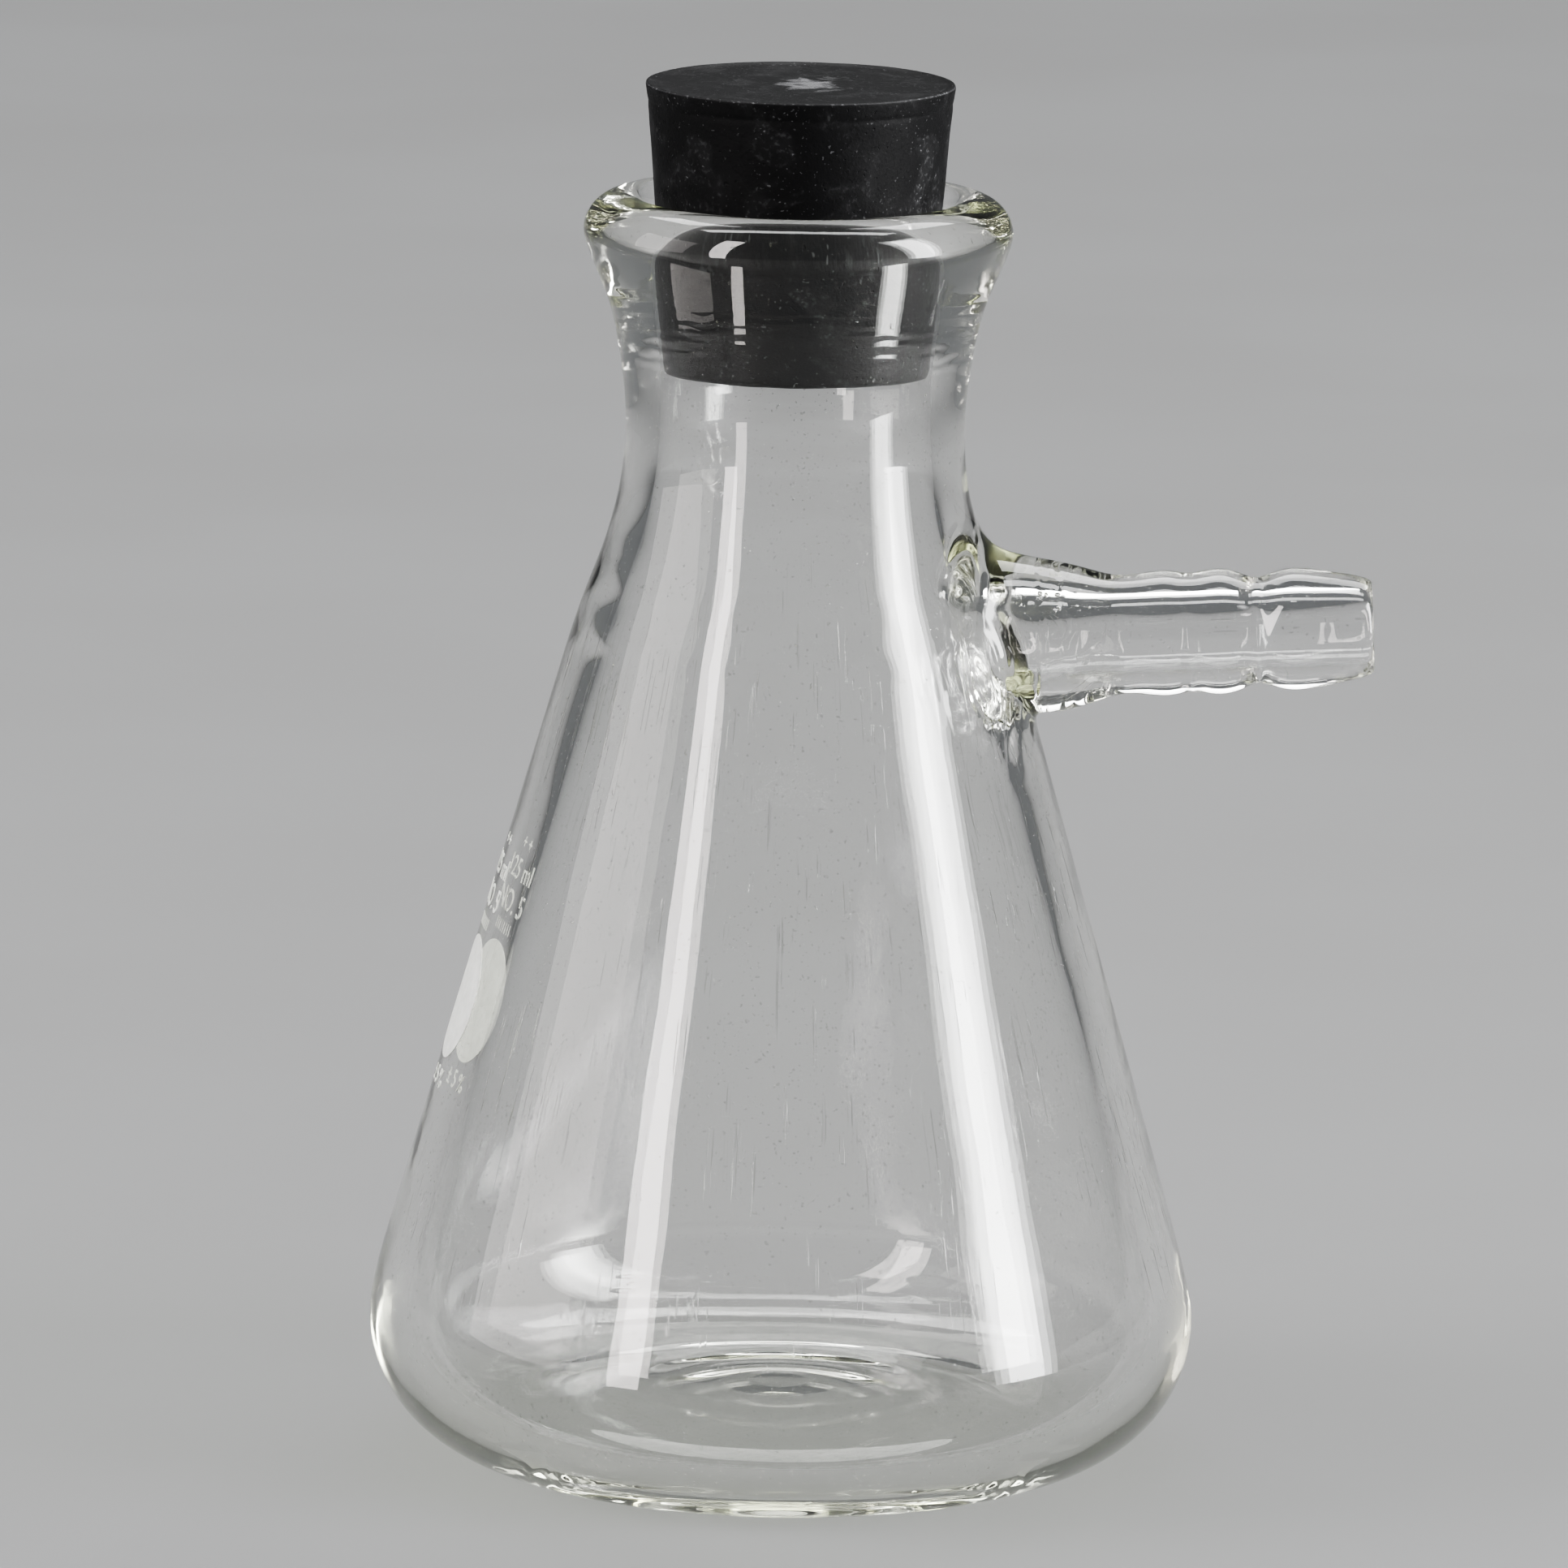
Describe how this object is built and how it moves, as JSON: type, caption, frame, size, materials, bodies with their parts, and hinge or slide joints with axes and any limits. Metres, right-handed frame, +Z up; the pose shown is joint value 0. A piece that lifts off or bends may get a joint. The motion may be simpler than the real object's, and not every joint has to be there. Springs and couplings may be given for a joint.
{
  "type": "filtering flask",
  "caption": "Heavy-wall conical glass filtering flask with a side hose arm on its shoulder and a solid rubber stopper that lifts out of the mouth.",
  "frame": {"origin": "on the flask's axis, at the plane the flask stands on", "axes": "+Z up along the flask's axis, +X the way the side arm points seen from above, +Y to the back"},
  "size_m": [0.0881, 0.0736, 0.1225],
  "materials": {
    "flask_glass": "clear, polished",
    "arm_glass": "clear, flame worked",
    "spot_enamel": "white fired enamel, satin",
    "capacity_enamel": "white fired enamel, satin",
    "tolerance_enamel": "white fired enamel, satin",
    "stopper_rubber": "matt black moulded rubber, dusty"
  },
  "bodies": {
    "flask": {"flask_body": "flask_glass", "side_arm": "arm_glass", "marking_spot": "spot_enamel", "capacity_print": "capacity_enamel", "tolerance_print": "tolerance_enamel"},
    "stopper": {"stopper": "stopper_rubber"}
  },
  "joints": [
    {"name": "stopper_lift", "type": "slide", "parent": "flask", "child": "stopper", "axis": [0, 0, 1], "range_m": [0, 0.04]}
  ]
}
